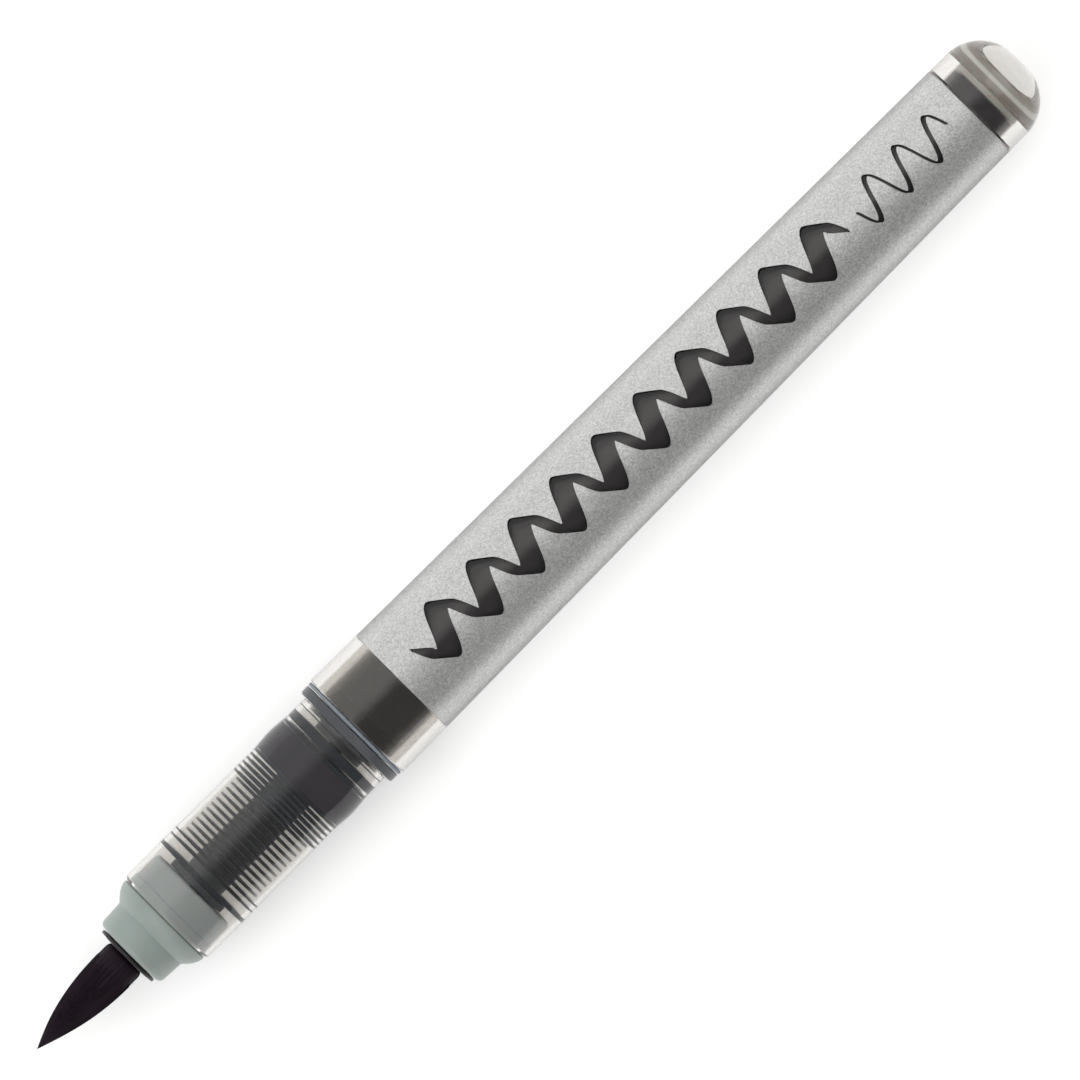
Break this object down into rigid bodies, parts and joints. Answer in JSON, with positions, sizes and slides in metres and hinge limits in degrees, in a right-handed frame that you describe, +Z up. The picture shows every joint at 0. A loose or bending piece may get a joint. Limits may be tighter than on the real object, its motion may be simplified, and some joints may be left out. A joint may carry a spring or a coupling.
{
  "type": "calligraphy brush marker",
  "caption": "Uncapped free-ink brush marker: pointed brush, pale nose, clear grip section over a finned ink collector, silver-coated clear barrel with an ink tank inside.",
  "frame": {"origin": "under the middle of the marker's length, on the surface it lies on", "axes": "+X along the marker from the brush to the rear end, +Z up, +Y to the left when looking along +X"},
  "size_m": [0.1366, 0.0128, 0.0128],
  "materials": {
    "clear_plastic": "clear, glossy",
    "pale_nose": "pale grey-green, slightly see-through, satin",
    "black_plastic": "satin black",
    "smoke_grey": "smoky grey, wet with ink",
    "grey_plug": "light grey, satin",
    "silver_film": "silver with a fine sparkle, satin",
    "dark_ink": "near-black purple liquid",
    "wet_brush": "fine filaments, wet with ink",
    "fibre": "pressed fibre, soaked with ink",
    "dark_rubber": "matt"
  },
  "bodies": {
    "barrel_unit": {"barrel": "clear_plastic", "barrel_film": "silver_film", "ink_tank": "clear_plastic", "tank_ink": "dark_ink", "tank_end_plug": "grey_plug", "tank_mouth_seal": "dark_rubber"},
    "section_unit": {"section_sleeve": "clear_plastic", "nose_seal": "dark_rubber", "front_collector": "smoke_grey", "rear_collector": "smoke_grey", "collector_ink": "dark_ink", "feed_wick": "fibre", "tank_adapter": "smoke_grey", "flange_ring": "smoke_grey", "barrel_gasket": "grey_plug"},
    "nib_unit": {"nib_collar": "black_plastic", "brush_root": "fibre", "nib_feeder": "fibre", "nose_cone": "pale_nose"},
    "brush_tip": {"brush_tuft": "wet_brush"}
  },
  "joints": [
    {"name": "section_pull", "type": "slide", "parent": "barrel_unit", "child": "section_unit", "axis": [-1, 0, 0], "range_m": [0, 0.009]},
    {"name": "nib_pull", "type": "slide", "parent": "section_unit", "child": "nib_unit", "axis": [-1, 0, 0], "range_m": [0, 0.008]},
    {"name": "brush_bend", "type": "hinge", "parent": "nib_unit", "child": "brush_tip", "pos_m": [-0.0573, 0, 0.0064], "axis": [0, 1, 0], "range_deg": [-35, 35], "stiffness_Nm_per_rad": 0.006}
  ]
}
